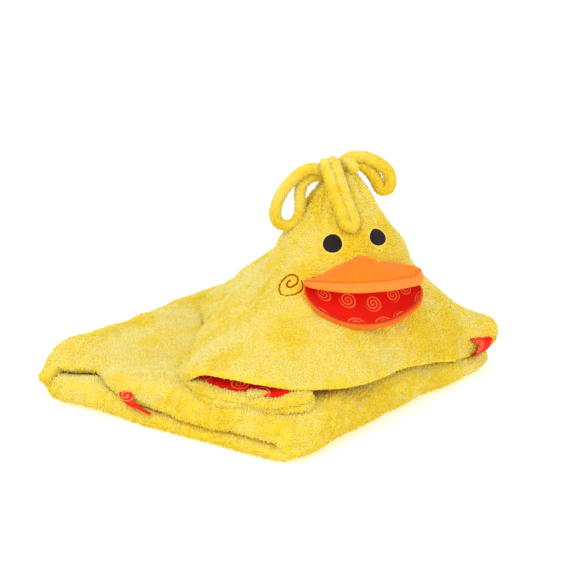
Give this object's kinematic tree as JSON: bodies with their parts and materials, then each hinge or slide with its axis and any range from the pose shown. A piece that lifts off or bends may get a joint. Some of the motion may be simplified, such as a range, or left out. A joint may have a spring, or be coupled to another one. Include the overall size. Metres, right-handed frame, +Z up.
{
  "type": "hooded baby towel",
  "caption": "Terry baby towel folded into a square stack, its lined hood standing on top with a stitched bird's face, soft open beak and a tuft of cloth loops.",
  "frame": {"origin": "middle of the footprint, on the surface the folded towel lies on", "axes": "+Z up, -Y towards the front corner of the stack, which the face looks over, +X to the viewer's right, along the stack's left-to-right diagonal"},
  "size_m": [0.5, 0.5, 0.2544],
  "materials": {
    "terry": "lemon-yellow looped terry",
    "print": "red plain-woven cotton printed with light-orange spirals",
    "fleece": "orange brushed fleece",
    "filling": "white polyester filling, hidden",
    "satin": "near-black satin stitch",
    "thread": "red-brown sewing thread"
  },
  "bodies": {
    "towel": {"towel_panel": "terry", "neck_fold": "terry", "fold_facing": "print", "neck_facing": "print", "corner_facing": "print"},
    "hood": {"hood_front_shell": "terry", "hood_back_shell": "terry", "hood_lining": "print", "opening_hem": "terry", "left_seam_cord": "terry", "right_seam_cord": "terry", "left_eye": "satin", "right_eye": "satin", "left_cheek_swirl": "thread", "right_cheek_swirl": "thread", "tuft_patch": "terry"},
    "upper_beak": {"upper_beak_skin": "fleece", "upper_beak_padding": "filling", "upper_beak_lining": "print", "upper_beak_topstitch": "thread"},
    "lower_beak": {"lower_beak_skin": "fleece", "lower_beak_padding": "filling", "lower_beak_lining": "print", "lower_beak_topstitch": "thread"},
    "left_tuft": {"left_tuft_loop": "terry"},
    "front_tuft": {"front_tuft_loop": "terry"},
    "right_tuft": {"right_tuft_loop": "terry"}
  },
  "joints": [
    {"name": "hood_flip", "type": "hinge", "parent": "towel", "child": "hood", "pos_m": [0.033, 0.166, 0.054], "axis": [-1, 0, 0], "range_deg": [0, 110]},
    {"name": "upper_beak_flex", "type": "hinge", "parent": "hood", "child": "upper_beak", "pos_m": [0.0895, -0.0715, 0.161], "axis": [-0.9903, -0.139, 0], "range_deg": [0, 25], "stiffness_Nm_per_rad": 0.15},
    {"name": "lower_beak_flex", "type": "hinge", "parent": "hood", "child": "lower_beak", "pos_m": [0.0895, -0.07, 0.125], "axis": [-0.9903, -0.139, 0], "range_deg": [0, 15], "stiffness_Nm_per_rad": 0.1},
    {"name": "left_tuft_swing", "type": "hinge", "parent": "hood", "child": "left_tuft", "pos_m": [0.062, -0.006, 0.24], "axis": [0, 1, 0], "range_deg": [0, 50], "stiffness_Nm_per_rad": 0.03},
    {"name": "front_tuft_swing", "type": "hinge", "parent": "hood", "child": "front_tuft", "pos_m": [0.0765, -0.024, 0.24], "axis": [-1, 0, 0], "range_deg": [0, 50], "stiffness_Nm_per_rad": 0.03},
    {"name": "right_tuft_swing", "type": "hinge", "parent": "hood", "child": "right_tuft", "pos_m": [0.09, 0.002, 0.24], "axis": [0, -1, 0], "range_deg": [0, 50], "stiffness_Nm_per_rad": 0.03}
  ]
}
